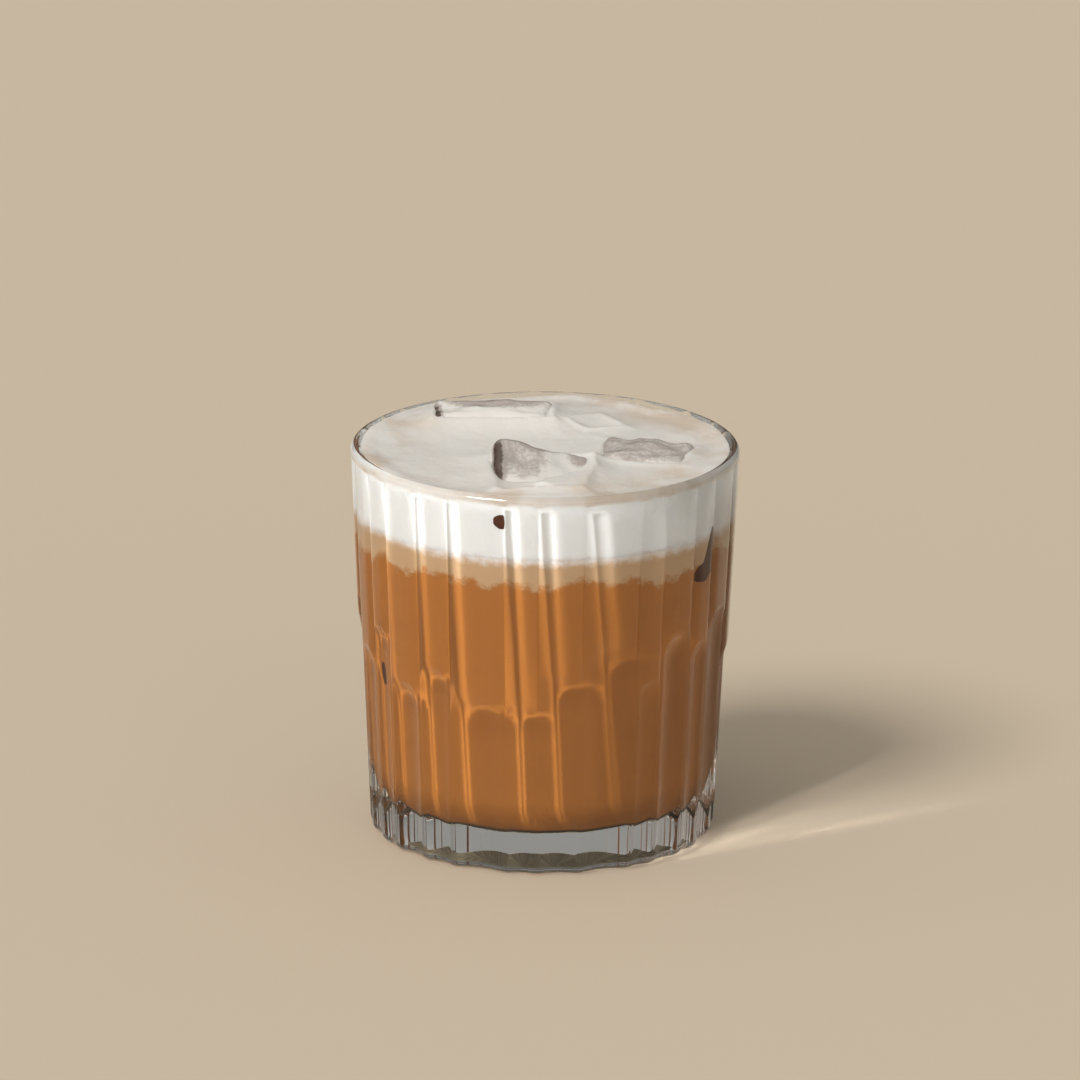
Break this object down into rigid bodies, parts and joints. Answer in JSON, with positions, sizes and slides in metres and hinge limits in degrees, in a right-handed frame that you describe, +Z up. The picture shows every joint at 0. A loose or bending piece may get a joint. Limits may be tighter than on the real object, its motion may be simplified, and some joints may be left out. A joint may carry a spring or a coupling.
{
  "type": "glass of iced coffee",
  "caption": "Pressed tumbler with upright panels over arched flutes, filled to the rim with layered iced coffee, milk foam and ice.",
  "frame": {"origin": "centre of the foot, on the surface that the glass stands on", "axes": "+Z up along the axis of the tumbler, the pictured side faces -Y, +X to the viewer's right"},
  "size_m": [0.084, 0.084, 0.0898],
  "materials": {
    "glass": "clear pressed glass, fire polished, faintly green in the thick base",
    "coffee": "opaque milky coffee, orange brown",
    "blended_layer": "opaque beige mix of milk and coffee",
    "milk_foam": "fine wet milk foam, white with beige tints",
    "ice": "wet melting ice under a thin film of milk"
  },
  "bodies": {
    "root": {"glass": "glass", "coffee": "coffee", "blended_layer": "blended_layer", "milk_foam": "milk_foam", "ice_back": "ice", "ice_front": "ice", "ice_right": "ice", "ice_middle": "ice"}
  },
  "joints": []
}
